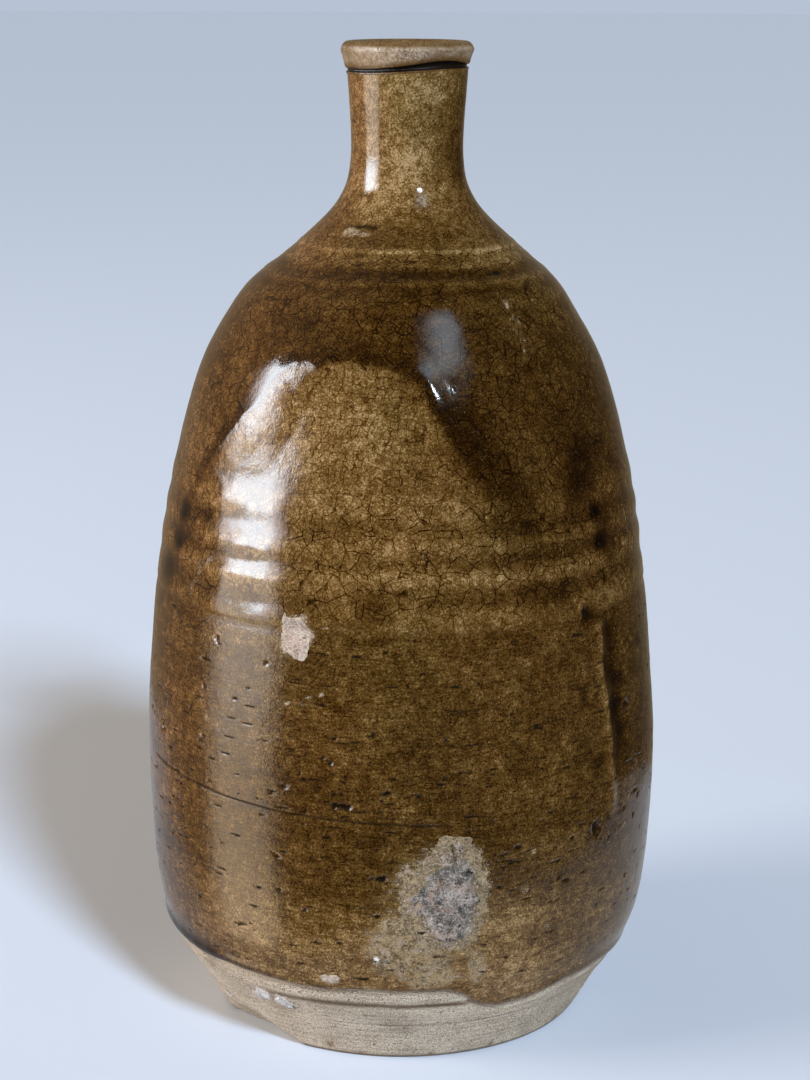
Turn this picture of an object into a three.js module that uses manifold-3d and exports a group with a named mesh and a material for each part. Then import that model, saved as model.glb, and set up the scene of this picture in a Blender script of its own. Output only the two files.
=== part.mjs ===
// A wheel-thrown stoneware sake bottle with an amber crackle glaze: a turned foot, a tall body with a
// pressed-in dent, a waisted neck and a rolled lip. Millimetres, +Z up, the foot stands on z = 0, and the
// dent faces -Y. The pot is hollow and open at the mouth, and every layer is its own closed solid.

import * as THREE from 'three';
import { mergeVertices } from 'three/addons/utils/BufferGeometryUtils.js';
import Module from 'manifold-3d';

const wasm = await Module();
wasm.setup();

// ---- driving dimensions ----

const SEGMENTS = 36; // facets round the pot, shared by every layer so that nested layers never cross
const STEPS_PER_SPAN = 2; // sections between two points of the outline

const FOOT_RADIUS = 51.7;
const BELLY_RADIUS = 71.8;
const BELLY_HEIGHT = 70;
const SHOULDER_LINE_HEIGHT = 216.6;
const WAIST_RADIUS = 15.3;
const NECK_TOP_RADIUS = 16.4;
const NECK_TOP_HEIGHT = 262;
const NECK_OFFSET = { distance: 1.05, from: 198, to: 217 }; // the neck was set slightly to one side

const GAP = 0.3; // clearance between neighbouring solids
const GLAZE = 0.7; // thickness of the outer glaze
const LINING = 0.5; // thickness of the glaze inside
const CLAY_DEPTH = GAP + GLAZE; // from the glazed surface in to the clay
const BODY_DEPTH = 6.5; // from the glazed surface in to the hollow, in the body
const NECK_DEPTH = 4.8; // and in the neck
const THINNING = { from: 198, to: 236 }; // heights between which the wall thins from body to neck
const BARE_WALL = { from: 12, to: 23 }; // the wall is bare up to here, then dips in under the glaze
const CREVICE = 0.5; // the outer glaze stops this far below the lip's joint

const FLOOR_HEIGHT = 11; // upper face of the floor inside
const FLOOR_RADIUS = 48;
const RECESS_DEPTH = 3; // shallow recess under the foot
const RECESS_RADIUS = 40;
const RESTING_RING_INNER = 43;

const DENT = { azimuth: -17, halfAngle: 40, height: 168, halfHeight: 30, depth: 4.2, flatShare: 0.3 };
const CHIP = { azimuth: -47.8, reach: 47.3, rise: 8, run: 8.9 }; // flake lost from the foot's edge
const CHIP_CUTTER = { side: 60, thickness: 20, inward: 6 }; // slab that takes the flake away

const LARGE_SCAR = { azimuth: 9, height: 51, halfWidth: 15.5, halfHeight: 18.5 };
const SMALL_SCAR = { azimuth: -23, height: 122.3, halfWidth: 5, halfHeight: 5.6 };
const SCAR_PROUD = 0.4; // the grit crust stands this far out of the glaze
const SCAR_OUTLINE = { corners: 18, threeLobes: 0.09, fiveLobes: 0.06 }; // uneven oval
const SCAR_CUT = { near: 45, far: 95 }; // reach of the cut through the front wall, from the axis

// Outline of the glazed pot from the foot to the top of the neck, as radius and height.
const OUTLINE = [
  [FOOT_RADIUS, 0],
  [58.6, 12],
  [65.6, 23],
  [69.8, 38],
  [BELLY_RADIUS, BELLY_HEIGHT],
  [70.6, 99],
  [67.4, 130],
  [62.9, 156],
  [55.8, 182],
  [47.5, 198],
  [40.9, 207],
  [29.4, SHOULDER_LINE_HEIGHT],
  [18.4, 228],
  [WAIST_RADIUS, 240],
  [NECK_TOP_RADIUS, NECK_TOP_HEIGHT],
];
const KEYS = { foot: 0, floor: 1, glazeEdge: 2, shoulderLine: 11, neckTop: 14 };

// Clay core of the rolled lip, from its underside round the outside, over the top and down the bore.
const LIP = [
  [14.2, 262.7],
  [16.3, 263.7],
  [16.9, 265.4],
  [16.8, 267.4],
  [16.0, 268.6],
  [14.7, 269.0],
  [13.4, 268.6],
  [12.3, 267.0],
  [11.8, 264.8],
  [11.6, 262.7],
];

const CLAY = { color: 0xb39a78, roughness: 0.9, metalness: 0 };
const FOOT_CLAY = { color: 0xbba98c, roughness: 0.95, metalness: 0 };
const LIP_CLAY = { color: 0xa98f6c, roughness: 0.8, metalness: 0 };
const AMBER_GLAZE = { color: 0x7a5426, roughness: 0.22, metalness: 0 };
const RIM_GLAZE = { color: 0x8a6a3c, roughness: 0.28, metalness: 0 };
const INNER_GLAZE = { color: 0x5a3d1e, roughness: 0.3, metalness: 0 };
const KILN_GRIT = { color: 0xa39580, roughness: 1, metalness: 0 };

// ---- the outline and its layers ----

const outline = new THREE.SplineCurve(OUTLINE.map(([radius, height]) => new THREE.Vector2(radius, height)));
const spans = OUTLINE.length - 1;

// A section of the wall: a point of the outline, the outward normal there, and its height as a label.
function section(position, slide = 0) {
  const t = position / spans;
  const point = outline.getPoint(t);
  const tangent = outline.getTangent(t);
  const normal = new THREE.Vector2(tangent.y, -tangent.x);
  return { point: point.addScaledVector(tangent, slide), normal, height: point.y };
}

function sections(fromKey, toKey, startSlide = 0, endSlide = 0) {
  const steps = (toKey - fromKey) * STEPS_PER_SPAN;
  return Array.from({ length: steps + 1 }, (_, i) => {
    const slide = i === 0 ? startSlide : i === steps ? -endSlide : 0;
    return section(fromKey + i / STEPS_PER_SPAN, slide);
  });
}

// The wall thins from the body to the neck.
function hollowDepth(height) {
  const thinned = THREE.MathUtils.smoothstep(height, THINNING.from, THINNING.to);
  return THREE.MathUtils.lerp(BODY_DEPTH, NECK_DEPTH, thinned);
}

function layer(wall, depthAt) {
  return wall.map(({ point, normal, height }) => {
    const moved = point.clone().addScaledVector(normal, -depthAt(height));
    return { radius: moved.x, z: moved.y, height };
  });
}

const atDepth = (depth) => () => depth;
const intoHollow = (extra) => (height) => hollowDepth(height) + extra;

function ringPoint(radius, z) {
  return { radius, z, height: z };
}

// ---- how the real pot departs from a turned shape ----

function dentDepth(azimuth, height) {
  const across = (THREE.MathUtils.radToDeg(azimuth) - DENT.azimuth) / DENT.halfAngle;
  const up = (height - DENT.height) / DENT.halfHeight;
  const distance = Math.hypot(across, up);
  return DENT.depth * (1 - THREE.MathUtils.smoothstep(distance, DENT.flatShare, 1));
}

function neckShift(height) {
  return NECK_OFFSET.distance * THREE.MathUtils.smoothstep(height, NECK_OFFSET.from, NECK_OFFSET.to);
}

// ---- solids ----

// Shared vertices are merged and the collapsed triangles on the axis are dropped.
function weld(geometry) {
  geometry.deleteAttribute('normal');
  geometry.deleteAttribute('uv');
  const merged = mergeVertices(geometry);
  const kept = [];
  for (let i = 0; i < merged.index.count; i += 3) {
    const corners = [0, 1, 2].map((k) => merged.index.getX(i + k));
    if (new Set(corners).size === 3) kept.push(...corners);
  }
  merged.setIndex(kept);
  return merged;
}

// A closed or axis-to-axis outline turned round Z, then dented and leaned by the labels on its points.
function turn(loop) {
  const profile = loop.map(({ radius, z }) => new THREE.Vector2(radius, z));
  const geometry = new THREE.LatheGeometry(profile, SEGMENTS);
  const position = geometry.attributes.position;
  for (let i = 0; i < position.count; i += 1) {
    const { radius, z, height } = loop[i % loop.length];
    const facet = Math.floor(i / loop.length) % SEGMENTS;
    const azimuth = (2 * Math.PI * facet) / SEGMENTS;
    const signed = azimuth > Math.PI ? azimuth - 2 * Math.PI : azimuth;
    const dented = radius > 0 ? radius - dentDepth(signed, height) : 0;
    const x = dented * Math.sin(azimuth) + neckShift(height);
    position.setXYZ(i, x, -dented * Math.cos(azimuth), z);
  }
  geometry.setIndex(facets(loop));
  return weld(geometry);
}

// Rising and falling parts of a loop are split along the same diagonal, so nested layers stay parallel.
function facets(loop) {
  const triangles = [];
  for (let i = 0; i < SEGMENTS; i += 1) {
    for (let j = 0; j < loop.length - 1; j += 1) {
      const a = j + i * loop.length;
      const [b, c, d] = [a + loop.length, a + loop.length + 1, a + 1];
      const rising = loop[j + 1].z >= loop[j].z;
      triangles.push(...(rising ? [a, b, d, c, d, b] : [a, b, c, a, c, d]));
    }
  }
  return triangles;
}

const closed = (loop) => [...loop, loop[0]];

function toSolid(geometry) {
  const vertProperties = new Float32Array(geometry.attributes.position.array);
  const triVerts = new Uint32Array(geometry.index.array);
  return new wasm.Manifold(new wasm.Mesh({ numProp: 3, vertProperties, triVerts }));
}

function toGeometry(solid) {
  const mesh = solid.getMesh();
  const geometry = new THREE.BufferGeometry();
  geometry.setAttribute('position', new THREE.BufferAttribute(mesh.vertProperties, 3));
  geometry.setIndex(new THREE.BufferAttribute(mesh.triVerts, 1));
  return geometry;
}

function shell(wall, outerDepth, innerDepth) {
  return turn(closed([...layer(wall, outerDepth), ...layer(wall, innerDepth).reverse()]));
}

// The floor and the turned foot, with a shallow recess under it and a flake lost from its edge.
function baseAndFoot() {
  const wall = sections(KEYS.foot, KEYS.floor, 0, GAP / 2);
  const loop = [
    ringPoint(0, RECESS_DEPTH),
    ringPoint(RECESS_RADIUS, RECESS_DEPTH),
    ringPoint(RESTING_RING_INNER, 0),
    ...layer(wall, atDepth(0)),
    layer(wall.slice(-1), atDepth(BODY_DEPTH))[0],
    ringPoint(FLOOR_RADIUS, FLOOR_HEIGHT),
    ringPoint(0, FLOOR_HEIGHT),
  ];
  return toGeometry(toSolid(turn(loop)).subtract(toSolid(chipCutter())));
}

// A slab whose upper face is the plane of the break.
function chipCutter() {
  const { side, thickness, inward } = CHIP_CUTTER;
  const slab = new THREE.BoxGeometry(side, side, thickness);
  slab.translate(0, inward - side / 2, -thickness / 2);
  slab.rotateX(-Math.atan2(CHIP.rise, CHIP.run));
  slab.translate(0, -CHIP.reach, 0);
  slab.rotateZ(THREE.MathUtils.degToRad(CHIP.azimuth));
  return weld(slab);
}

function bodyWall() {
  const { from, to } = BARE_WALL;
  const underGlaze = (height) => CLAY_DEPTH * THREE.MathUtils.smoothstep(height, from, to);
  return shell(sections(KEYS.floor, KEYS.shoulderLine, GAP / 2, GAP / 2), underGlaze, intoHollow(0));
}

function neck() {
  return shell(sections(KEYS.shoulderLine, KEYS.neckTop, GAP / 2), atDepth(CLAY_DEPTH), intoHollow(0));
}

function lipBand() {
  return turn(closed(LIP.map(([radius, z]) => ringPoint(radius, z))));
}

// The glaze over the lip: the lip's outline moved out along its normals, without its underside.
function rimGlaze() {
  const moved = (distance) => LIP.slice(1).map(([radius, z], i) => {
    const before = LIP[i];
    const after = LIP[Math.min(i + 2, LIP.length - 1)];
    const along = new THREE.Vector2(after[0] - before[0], after[1] - before[1]).normalize();
    return ringPoint(radius + along.y * distance, z - along.x * distance);
  });
  return turn(closed([...moved(CLAY_DEPTH), ...moved(GAP).reverse()]));
}

// The glaze lining covers the floor, the wall and the bore of the neck in one coat.
function innerGlaze() {
  const wall = sections(KEYS.floor, KEYS.neckTop);
  const corner = FLOOR_RADIUS - GAP / 2;
  return turn([
    ringPoint(0, FLOOR_HEIGHT + GAP),
    ringPoint(corner, FLOOR_HEIGHT + GAP),
    ...layer(wall, intoHollow(GAP)),
    ...layer(wall, intoHollow(GAP + LINING)).reverse(),
    ringPoint(corner - LINING / 2, FLOOR_HEIGHT + GAP + LINING),
    ringPoint(0, FLOOR_HEIGHT + GAP + LINING),
  ]);
}

// ---- kiln scars: grit fused to the clay where the glaze is missing ----

// A prism through the front wall with an uneven oval outline.
function scarPrism({ azimuth, height, halfWidth, halfHeight }, margin) {
  const { corners, threeLobes, fiveLobes } = SCAR_OUTLINE;
  const oval = Array.from({ length: corners }, (_, i) => {
    const turnAngle = (2 * Math.PI * i) / corners;
    const wobble = 1 + threeLobes * Math.sin(3 * turnAngle + 1) + fiveLobes * Math.sin(5 * turnAngle);
    return new THREE.Vector2(
      (halfWidth * wobble + margin) * Math.cos(turnAngle),
      (halfHeight * wobble + margin) * Math.sin(turnAngle),
    );
  });
  const depth = SCAR_CUT.far - SCAR_CUT.near;
  const geometry = new THREE.ExtrudeGeometry(new THREE.Shape(oval), { depth, bevelEnabled: false });
  geometry.rotateX(Math.PI / 2);
  geometry.translate(0, -SCAR_CUT.near, height);
  geometry.rotateZ(THREE.MathUtils.degToRad(azimuth));
  return toSolid(weld(geometry));
}

function scarCrust(scar) {
  const wall = sections(KEYS.glazeEdge, KEYS.shoulderLine);
  const crust = toSolid(shell(wall, atDepth(-SCAR_PROUD), atDepth(GLAZE)));
  return toGeometry(crust.intersect(scarPrism(scar, 0)));
}

function outerGlaze() {
  const wall = sections(KEYS.glazeEdge, KEYS.neckTop, 0, CREVICE);
  const coat = toSolid(shell(wall, atDepth(0), atDepth(GLAZE)));
  const holes = scarPrism(LARGE_SCAR, GAP).add(scarPrism(SMALL_SCAR, GAP));
  return toGeometry(coat.subtract(holes));
}

// ---- assembly ----

function piece(name, geometry, finish) {
  geometry.computeVertexNormals();
  const mesh = new THREE.Mesh(geometry, new THREE.MeshStandardMaterial(finish));
  mesh.name = name;
  return mesh;
}

const bottle = new THREE.Group();
bottle.name = 'sake_bottle';
bottle.add(
  piece('base_and_foot', baseAndFoot(), FOOT_CLAY),
  piece('body_wall', bodyWall(), CLAY),
  piece('neck', neck(), CLAY),
  piece('lip_band', lipBand(), LIP_CLAY),
  piece('outer_glaze', outerGlaze(), AMBER_GLAZE),
  piece('rim_glaze', rimGlaze(), RIM_GLAZE),
  piece('inner_glaze', innerGlaze(), INNER_GLAZE),
  piece('kiln_scar_large', scarCrust(LARGE_SCAR), KILN_GRIT),
  piece('kiln_scar_small', scarCrust(SMALL_SCAR), KILN_GRIT),
);

export default bottle;
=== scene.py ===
"""An old stoneware sake bottle with an amber crackle glaze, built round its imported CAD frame.

Lengths in the shape functions are millimetres and azimuths are degrees: 0 faces -Y, 90 faces +X.
Meshes are written in metres, in the frame's own axes, with the foot on z = 0.
"""

import math

import bpy
import numpy as np
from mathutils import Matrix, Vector


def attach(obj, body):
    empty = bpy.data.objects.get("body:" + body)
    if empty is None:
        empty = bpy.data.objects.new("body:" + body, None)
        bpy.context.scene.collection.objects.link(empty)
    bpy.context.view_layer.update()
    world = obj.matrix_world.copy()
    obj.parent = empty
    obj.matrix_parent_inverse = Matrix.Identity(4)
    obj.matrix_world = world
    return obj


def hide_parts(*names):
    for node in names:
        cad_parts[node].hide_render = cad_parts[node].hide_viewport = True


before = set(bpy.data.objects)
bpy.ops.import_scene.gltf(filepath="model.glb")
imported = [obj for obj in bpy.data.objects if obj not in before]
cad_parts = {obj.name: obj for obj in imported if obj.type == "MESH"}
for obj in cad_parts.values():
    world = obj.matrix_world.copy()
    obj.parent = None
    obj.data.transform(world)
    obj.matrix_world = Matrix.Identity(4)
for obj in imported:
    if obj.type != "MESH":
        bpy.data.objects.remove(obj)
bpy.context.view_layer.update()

MM = 0.001

# ---- the turned form, as in the CAD frame ----

OUTLINE = [  # radius, height of the glazed pot, foot to neck
    (51.7, 0), (58.6, 12), (65.6, 23), (69.8, 38), (71.8, 70), (70.6, 99), (67.4, 130), (62.9, 156),
    (55.8, 182), (47.5, 198), (40.9, 207), (29.4, 216.6), (18.4, 228), (15.3, 240), (16.4, 262),
]
SHOULDER_LINE = 216.6  # raised line where the neck joins
TRIM_LINE = 125.3  # below it the wall was cut with a tool, above it fingers shaped it
NECK_TOP = 262.0
NECK_OFFSET, BELLY_OFFSET = 1.05, 0.45  # how far each stands off the axis, to opposite sides
EDGE_ROLL = 0.45  # the glaze's lower edge stands proud in a roll
COLUMNS = 640  # faces round the glazed wall


# ---- node trees ----

class Nodes:
    """Short ways to make and join the nodes of one material, or of the world."""

    def __init__(self, owner, empty=False):
        owner.use_nodes = True
        self.owner = owner
        self.tree = owner.node_tree
        if empty:
            self.tree.nodes.clear()
        self.coords = self.node("TexCoord").outputs

    def fill(self, node, sockets):
        """Gives each named socket its number, or links it to the socket given."""
        for name, value in sockets.items():
            if isinstance(value, bpy.types.NodeSocket):
                self.tree.links.new(value, node.inputs[name])
            else:
                node.inputs[name].default_value = value

    def node(self, kind, sockets=None, **settings):
        made = self.tree.nodes.new("ShaderNode" + kind)
        for name, value in settings.items():
            setattr(made, name, value)
        self.fill(made, sockets or {})
        return made

    def mark(self, name):
        return self.node("Attribute", attribute_name=name).outputs["Fac"]

    def math(self, operation, a, b):
        return self.node("Math", {0: a, 1: b}, operation=operation).outputs[0]

    def add(self, a, b):
        return self.math("ADD", a, b)

    def times(self, a, b):
        return self.math("MULTIPLY", a, b)

    def total(self, *terms):
        """The sum of its terms, where a pair is a value and its weight."""
        result = None
        for term in terms:
            part = self.times(*term) if isinstance(term, tuple) else term
            result = part if result is None else self.add(result, part)
        return result

    def span(self, value, low, high, to_low=0.0, to_high=1.0):
        """A soft step from to_low at low to to_high at high."""
        ends = {"Value": value, "From Min": low, "From Max": high, "To Min": to_low, "To Max": to_high}
        return self.node("MapRange", ends, interpolation_type="SMOOTHSTEP").outputs["Result"]

    def stretch(self, scale):
        return self.node("Mapping", {"Vector": self.coords["Object"], "Scale": scale}).outputs["Vector"]

    def grain(self, size, detail=2.0, vector=None, roughness=0.5):
        """Noise of about -1..1 with grains about size millimetres across."""
        sockets = {"Scale": 1 / (size * MM), "Detail": detail, "Roughness": roughness}
        sockets["Vector"] = self.coords["Object"] if vector is None else vector
        return self.times(self.math("SUBTRACT", self.node("TexNoise", sockets).outputs["Fac"], 0.5), 4.0)

    def cracks(self, size, width, bend, randomness=1.0):
        """Lines of a cracked net with cells about size millimetres across: 1 on a crack."""
        flat = self.coords["Object"]
        warp = self.node("TexNoise", {"Vector": flat, "Scale": 1 / (size * 1.3 * MM), "Detail": 2.0})
        shove = {0: warp.outputs["Color"], 1: (bend * size * MM,) * 3, 2: flat}
        bent = self.node("VectorMath", shove, operation="MULTIPLY_ADD").outputs[0]
        net = {"Vector": bent, "Scale": 1 / (size * MM), "Randomness": randomness}
        cells = self.node("TexVoronoi", net, feature="DISTANCE_TO_EDGE")
        edge = width / size
        return self.span(cells.outputs["Distance"], edge * 0.35, edge, 1.0, 0.0)

    def blend(self, factor, a, b, how="MIX"):
        a, b = (c if isinstance(c, bpy.types.NodeSocket) else (*c, 1) for c in (a, b))
        sockets = {"Factor": factor, "A": a, "B": b}
        return self.node("Mix", sockets, data_type="RGBA", blend_type=how).outputs["Result"]

    def stain(self, pale, keep, amount):
        """pale darkened by an absorbing coat: each unit of amount multiplies it by keep."""
        left = [self.times(self.math("POWER", k, amount), c) for k, c in zip(keep, pale)]
        return self.node("CombineColor", dict(enumerate(left))).outputs[0]

    def bump(self, height, millimetres, **under):
        """A normal bent by a height; under may give the Normal that it starts from."""
        sockets = {"Distance": millimetres * MM, "Height": height, **under}
        return self.node("Bump", sockets).outputs["Normal"]

    def surface(self, colour, roughness, normal, **more):
        """Fills the material's own shader, and gives the material."""
        sockets = {"Base Color": colour, "Roughness": roughness, "Normal": normal, **more}
        self.fill(self.tree.nodes["Principled BSDF"], sockets)
        return self.owner


# ---- camera, floor and lights ----

CAMERA_DISTANCE, CAMERA_HEIGHT = 0.6473, 0.2902
CAMERA_PITCH, CAMERA_ROLL, CAMERA_YAW = 0.2387, 0.0033, 0.00045
CAMERA_LENS = 79.1

FLOOR = (0.68, 0.71, 0.75)
BACKDROP = (0.475, 0.545, 0.665)  # seen by the camera
FILL = (0.27, 0.225, 0.17)  # light from all round
ROOM_PALE = (0.24, 0.20, 0.145)  # seen in the glaze behind the pot and at its left
ROOM_DARK = (0.035, 0.03, 0.022)  # seen in the glaze in front and at the right
PALE_SIDE = (-0.75, 0.66, 0)  # direction of the room's pale side
WINDOW, LAMP = (-75, 17), (26, 37)  # azimuth and elevation of each
AIM = (0, 0, 0.13)  # the point that the lights and cards face
CARDS = [  # azimuth, half-width, lowest and highest elevation, strength, colour, distance, soft
    ("window_glow", -75, 16, 5.0, 29, 8.5, (1.0, 0.90, 0.92), 2.0, False),
    ("window_core", -76, 11, 5.4, 32, 19.0, (0.85, 0.92, 1.0), 1.8, False),
    ("sill_glow", -75, 16, -12, 5.0, 4.4, (1.0, 0.90, 0.80), 2.0, False),
    ("wall_glow", -75, 16, -50, -12, 3.2, (1.0, 0.82, 0.60), 1.1, False),
    ("lamp_haze", 26, 23, 30, 76, 4.6, (0.70, 0.85, 1.0), 1.3, True),
    ("lamp_glow", 26, 6, 32, 42, 6.0, (0.75, 0.88, 1.0), 1.05, True),
    ("lamp_core", 26, 1.7, 35.9, 38.1, 330.0, (0.85, 0.93, 1.0), 0.9, False),
]
TABLE = [  # the lit part of the table, as the glaze shows it
    (-0.30, 0.17), (-0.112, -0.042), (0.03, -0.19), (0.09, -0.165), (0.145, -0.112), (0.205, -0.02),
    (0.24, 0.10), (0.147, 0.169), (0, 0.268), (-0.10, 0.39), (-0.17, 0.29),
]


def add_camera():
    camera = bpy.data.objects.new("camera", bpy.data.cameras.new("camera"))
    camera.location = (0, -CAMERA_DISTANCE, CAMERA_HEIGHT)
    camera.rotation_euler = (math.pi / 2 - CAMERA_PITCH, -CAMERA_ROLL, -CAMERA_YAW)
    camera.data.lens = CAMERA_LENS
    camera.data.clip_start = 0.01
    bpy.context.scene.collection.objects.link(camera)
    bpy.context.scene.camera = camera


def direction(azimuth, elevation):
    """Unit vector out from the bottle: azimuth 0 is -Y, 90 is +X."""
    a, e = math.radians(azimuth), math.radians(elevation)
    return np.array([math.sin(a) * math.cos(e), -math.cos(a) * math.cos(e), math.sin(e)])


def add_light(kind, name, way, distance, energy, colour):
    """A light that shines on surfaces only: the glaze reflects the cards in its place."""
    light = bpy.data.lights.new(name, kind)
    light.energy = energy
    light.color = colour
    obj = bpy.data.objects.new(name, light)
    obj.location = np.array(AIM) + direction(*way) * distance
    obj.rotation_euler = (Vector(AIM) - obj.location).to_track_quat("-Z", "Y").to_euler()
    obj.visible_camera = False
    obj.visible_glossy = False
    bpy.context.scene.collection.objects.link(obj)
    return light


def fade_from_middle(n, strength):
    """A strength that falls to nothing at half the card's width from its middle."""
    away = n.node("VectorMath", {0: n.coords["Generated"], 1: (0.5, 0.5, 0.5)}, operation="DISTANCE")
    fade = n.span(away.outputs["Value"], 0.0, 0.5, math.sqrt(strength), 0.0)
    return n.times(fade, fade)


def card(name, corners, strength, colour, soft=False):
    """An emitting card that only the glaze reflects; a soft one fades out from its middle."""
    n = Nodes(bpy.data.materials.new(name), empty=True)
    if soft:
        strength = fade_from_middle(n, strength)
    emission = n.node("Emission", {"Color": (*colour, 1), "Strength": strength})
    n.node("OutputMaterial", {"Surface": emission.outputs[0]})
    mesh = bpy.data.meshes.new(name)
    mesh.from_pydata(corners, [], [tuple(range(len(corners)))])
    mesh.materials.append(n.owner)
    obj = bpy.data.objects.new(name, mesh)
    obj.visible_camera = False
    obj.visible_diffuse = False
    obj.visible_shadow = False
    bpy.context.scene.collection.objects.link(obj)


def add_floor():
    """A plain disc whose edge is far from the bottle."""
    reach, corners = 14.0, 64
    turns = [2 * math.pi * i / corners for i in range(corners)]
    ring = [(reach * math.cos(turn), reach * math.sin(turn), 0) for turn in turns]
    mesh = bpy.data.meshes.new("floor")
    mesh.from_pydata(ring, [], [tuple(range(corners))])
    floor = bpy.data.objects.new("floor", mesh)
    n = Nodes(bpy.data.materials.new("floor"))
    n.fill(n.tree.nodes["Principled BSDF"], {"Base Color": (*FLOOR, 1), "Roughness": 0.85})
    mesh.materials.append(n.owner)
    floor.visible_glossy = False
    bpy.context.scene.collection.objects.link(floor)


def room_colour(n):
    """What the glaze sees of the room: pale on one side, dark on the other."""
    facing = n.node("VectorMath", {0: n.coords["Generated"], 1: PALE_SIDE}, operation="DOT_PRODUCT")
    return n.blend(n.span(facing.outputs["Value"], -0.20, 0.60), ROOM_DARK, ROOM_PALE)


def add_room():
    """The world: warm fill for surfaces, a half dark room for the glaze, a backdrop for the camera."""
    world = bpy.data.worlds.new("studio")
    bpy.context.scene.world = world
    n = Nodes(world, empty=True)
    rays = n.node("LightPath").outputs
    shown = n.node("Background", {"Color": (*FILL, 1)}).outputs[0]
    for ray, colour in (("Is Glossy Ray", room_colour(n)), ("Is Camera Ray", (*BACKDROP, 1))):
        background = n.node("Background", {"Color": colour}).outputs[0]
        shown = n.node("MixShader", {0: rays[ray], 1: shown, 2: background}).outputs[0]
    n.node("OutputWorld", {"Surface": shown})


def add_lights():
    """Window light from the left and a lamp at the front right, and the cards that the glaze reflects."""
    window = add_light("AREA", "window", WINDOW, 2.2, 38, (1.0, 0.95, 0.95))
    window.shape = "RECTANGLE"
    window.size, window.size_y = 0.90, 1.25
    lamp = add_light("SUN", "lamp", LAMP, 1.0, 3.9, (0.60, 0.76, 1.0))
    lamp.angle = math.radians(10)
    for name, azimuth, half_width, low, high, strength, colour, distance, soft in CARDS:
        left, right = azimuth - half_width, azimuth + half_width
        ways = ((left, low), (right, low), (right, high), (left, high))
        corners = [np.array(AIM) + direction(*way) * distance for way in ways]
        card(name, [tuple(corner) for corner in corners], strength, colour, soft)
    card("table_glow", [(x, y, 0) for x, y in TABLE], 0.48, (0.84, 0.89, 0.95))


# ---- uneven surfaces, steps and curves ----

def lattice(ix, iy, iz, seed):
    """A repeatable value in -1..1 for each whole-number point: large odd factors scatter its bits."""
    h = (ix.astype(np.uint32) * np.uint32(374761393) + iy.astype(np.uint32) * np.uint32(668265263)
         + iz.astype(np.uint32) * np.uint32(2147483647) + np.uint32(seed * 144269 + 17))
    h = (h ^ (h >> np.uint32(13))) * np.uint32(1274126177)
    h = (h ^ (h >> np.uint32(16))) * np.uint32(2246822519)
    h = h ^ (h >> np.uint32(13))
    return h.astype(np.float64) / 2147483647.5 - 1.0


def noise(points, size, seed):
    """Smooth value noise in -1..1 with bumps about size millimetres across."""
    scaled = points / np.asarray(size, float)
    base = np.floor(scaled)
    f = scaled - base
    f = f * f * (3 - 2 * f)
    ix, iy, iz = (base[..., k].astype(np.int64) for k in range(3))
    total = 0.0
    for dx in (0, 1):
        wx = f[..., 0] if dx else 1 - f[..., 0]
        for dy in (0, 1):
            wy = f[..., 1] if dy else 1 - f[..., 1]
            for dz in (0, 1):
                wz = f[..., 2] if dz else 1 - f[..., 2]
                total = total + wx * wy * wz * lattice(ix + dx, iy + dy, iz + dz, seed)
    return total


def fractal(points, size, seed, octaves=3):
    """Noise with finer and weaker noise added to it."""
    total, weight = 0.0, 1.0
    for k in range(octaves):
        total = total + weight * noise(points, np.asarray(size, float) / 2 ** k, seed + 31 * k)
        weight *= 0.5
    return total


def smooth(x, low, high):
    """0 below low, 1 above high, with a soft step between."""
    t = np.clip((x - low) / (high - low), 0, 1)
    return t * t * (3 - 2 * t)


def band(x, low, full, fading, gone):
    """1 from full to fading, and 0 below low and above gone."""
    return smooth(x, low, full) * (1 - smooth(x, fading, gone))


def bell(x, centre, width):
    """1 at the centre, falling off smoothly on both sides."""
    return np.exp(-0.5 * ((x - centre) / width) ** 2)


def around(azimuth, centre, radius):
    """Millimetres round the wall from the centre azimuth, the short way."""
    return np.radians((azimuth - centre + 180) % 360 - 180) * radius


def turned(points, steps):
    """A dense, smooth curve through a list of two-number points."""
    p = np.array(points, float)
    line = []
    for i in range(len(p) - 1):
        before, start, end = p[max(i - 1, 0)], p[i], p[i + 1]
        after = p[min(i + 2, len(p) - 1)]
        t = np.linspace(0, 1, steps, endpoint=False)[:, None]
        v0, v1 = (end - before) / 2, (after - start) / 2
        line.append((2 * start - 2 * end + v0 + v1) * t ** 3 + (3 * end - 3 * start - 2 * v0 - v1) * t ** 2
                    + v0 * t + start)
    return np.concatenate(line + [p[-1:]])


PROFILE_R, PROFILE_Z = turned(OUTLINE, 24).T


def skin(z):
    """Radius of the glazed pot at a height."""
    return np.interp(z, PROFILE_Z, PROFILE_R)


def shift(z):
    """Sideways lean: the neck sits off centre, and the belly swells slightly to the other side."""
    return NECK_OFFSET * smooth(z, 198, 217) - BELLY_OFFSET * band(z, 72, 100, 125, 165)


def place(azimuth, radius, z):
    """The point at an azimuth, radius and height, with the pot's lean."""
    a = np.radians(azimuth)
    return np.stack([radius * np.sin(a) + shift(z), -radius * np.cos(a), z + 0 * radius], -1)


# ---- marks of making and firing ----

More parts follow.
